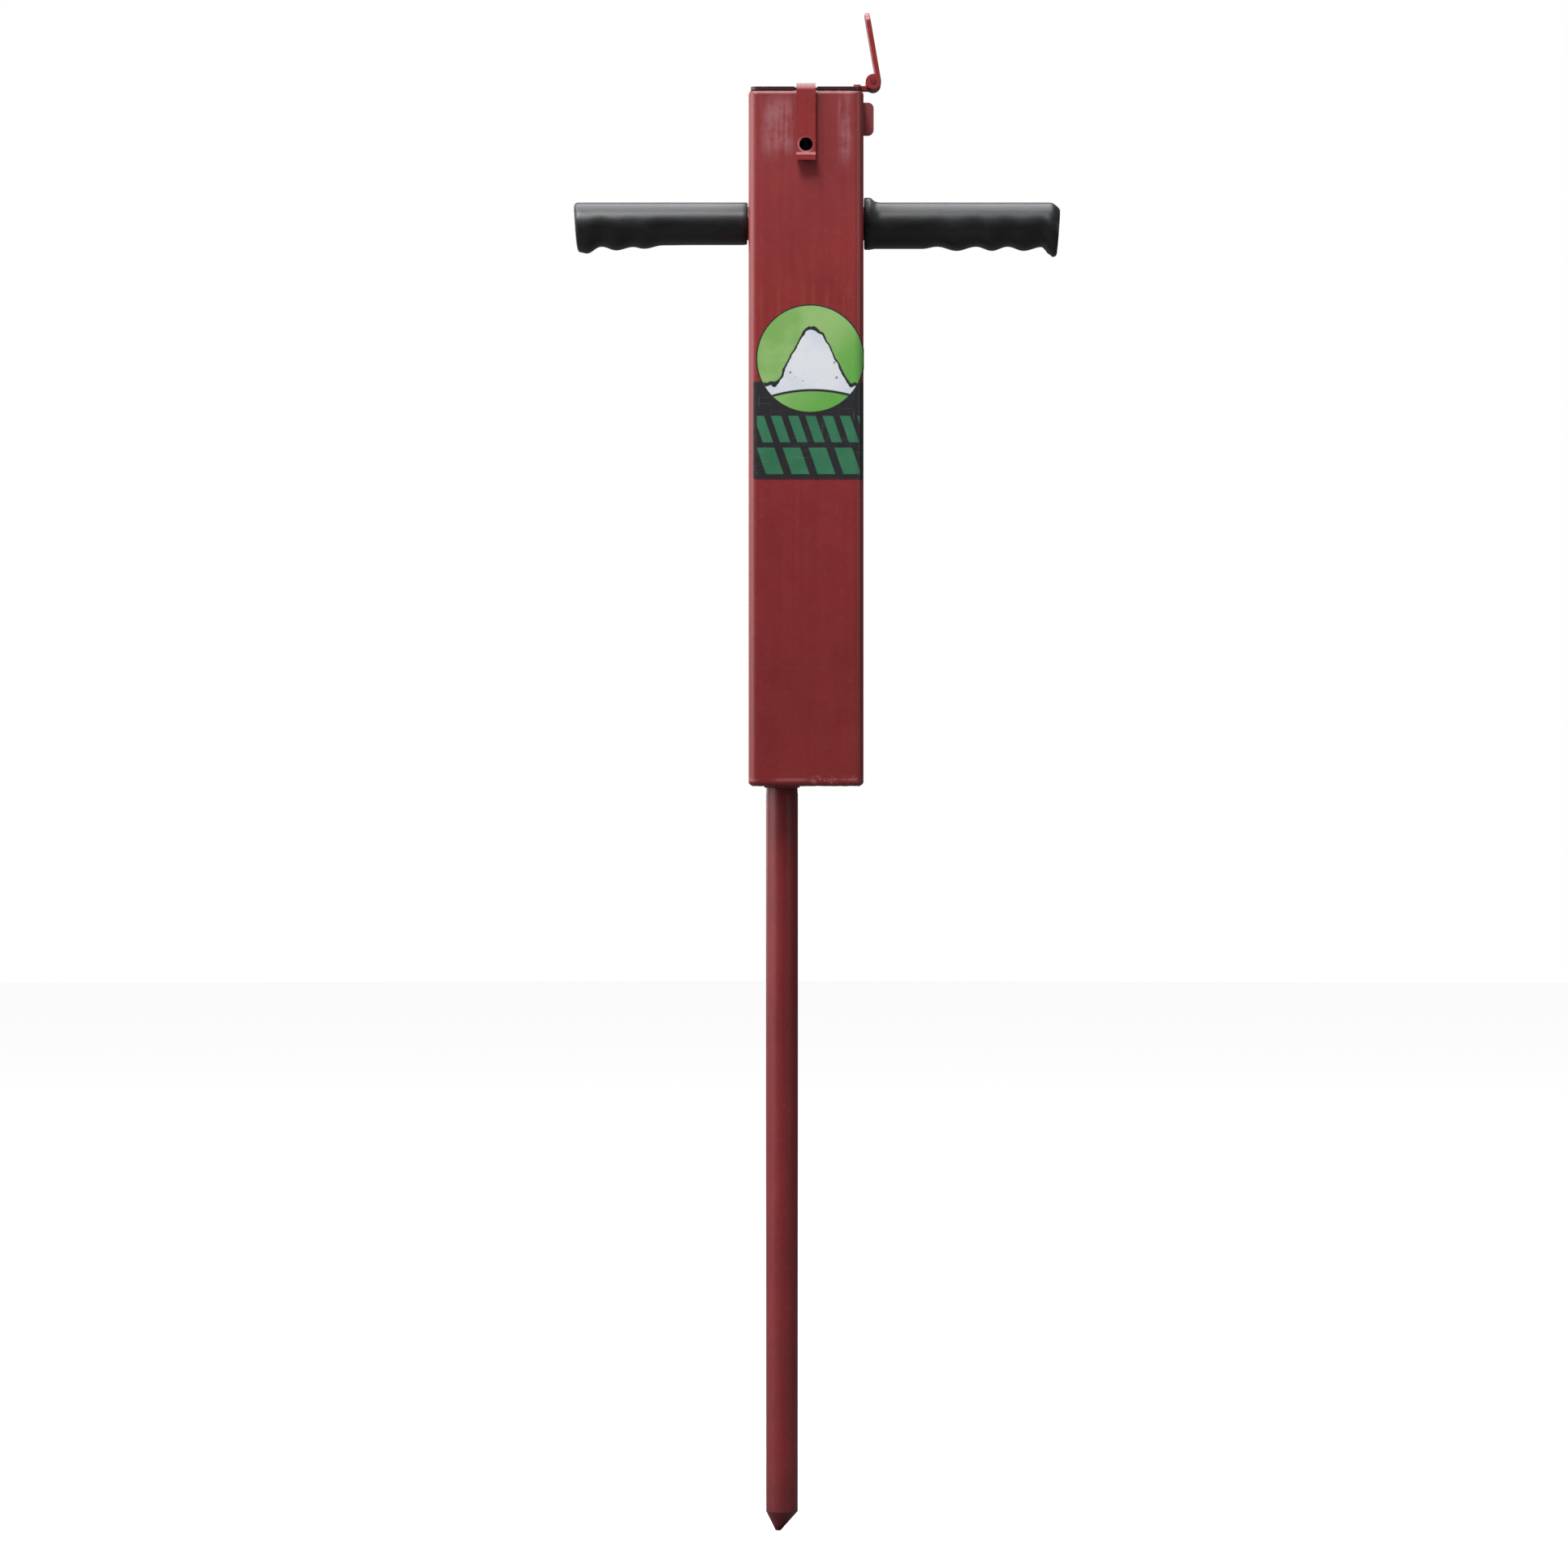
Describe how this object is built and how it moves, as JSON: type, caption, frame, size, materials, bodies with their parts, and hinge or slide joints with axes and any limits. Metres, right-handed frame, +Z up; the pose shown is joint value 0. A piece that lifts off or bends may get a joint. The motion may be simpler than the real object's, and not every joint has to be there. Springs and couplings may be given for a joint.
{
  "type": "hand bait probe",
  "caption": "Hand probe that drops a measured dose of loose bait underground: square hopper tube with hinged lid, cross handle, finger trigger and hollow ground spike.",
  "frame": {"origin": "on the axis of the ground spike, at the shoulder where its clear shank begins, 5 mm below the hopper tube", "axes": "+Z up along the spike towards the lid, +X to the user's right along the handle, -Y the front with the finger strap and label"},
  "size_m": [0.3239, 0.0931, 1.0101],
  "materials": {
    "hopper_paint": "satin brush-marked oxide red enamel",
    "grip_rubber": "soft moulded black vinyl, slight sheen",
    "label_film": "printed vinyl film, green disc over a black panel",
    "bright_steel": "zinc plated, dull",
    "block_plastic": "natural machined acetal"
  },
  "bodies": {
    "hopper": {"hopper_tube": "hopper_paint", "bottom_plate": "hopper_paint", "probe_pipe": "hopper_paint", "probe_foot": "hopper_paint", "probe_tip": "hopper_paint", "probe_weld": "hopper_paint", "hopper_funnel": "bright_steel", "metering_housing": "bright_steel", "handle_bar": "hopper_paint", "handle_welds": "hopper_paint", "left_grip": "grip_rubber", "right_grip": "grip_rubber", "upper_rod_guide": "bright_steel", "sleeve_bracket": "bright_steel", "rod_sleeve": "bright_steel", "hinge_leaf": "hopper_paint", "hinge_pin": "bright_steel", "hasp_keeper": "hopper_paint", "front_label": "label_film", "return_spring": "bright_steel"},
    "lid": {"lid_plate": "hopper_paint", "hasp_leaf": "hopper_paint", "hasp_pin": "bright_steel"},
    "hasp": {"hasp_flap": "hopper_paint"},
    "trigger": {"trigger_strap": "hopper_paint", "trigger_rod": "bright_steel", "follower_pin": "bright_steel", "spring_collar": "bright_steel", "collar_pin": "bright_steel"},
    "shuttle": {"metering_block": "block_plastic", "cam_plate": "bright_steel", "cam_spacers": "bright_steel", "cam_screws": "bright_steel"}
  },
  "joints": [
    {"name": "lid_hinge", "type": "hinge", "parent": "hopper", "child": "lid", "pos_m": [0.0159, 0.042, 0.4664], "axis": [-1, 0, 0], "range_deg": [0, 180]},
    {"name": "hasp_hinge", "type": "hinge", "parent": "lid", "child": "hasp", "pos_m": [0.06075, 0, 0.4728], "axis": [0, 1, 0], "range_deg": [-88, 189.8]},
    {"name": "trigger_slide", "type": "slide", "parent": "hopper", "child": "trigger", "axis": [0, 0, 1], "range_m": [0, 0.02], "stiffness_N_per_m": 400, "springref_m": -0.02, "deforming": ["return_spring"]},
    {"name": "shuttle_slide", "type": "slide", "parent": "hopper", "child": "shuttle", "axis": [-1, 0, 0], "range_m": [0, 0.02]}
  ],
  "couplings": [
    {"joint": "shuttle_slide", "follows": "trigger_slide", "ratio": 1}
  ]
}
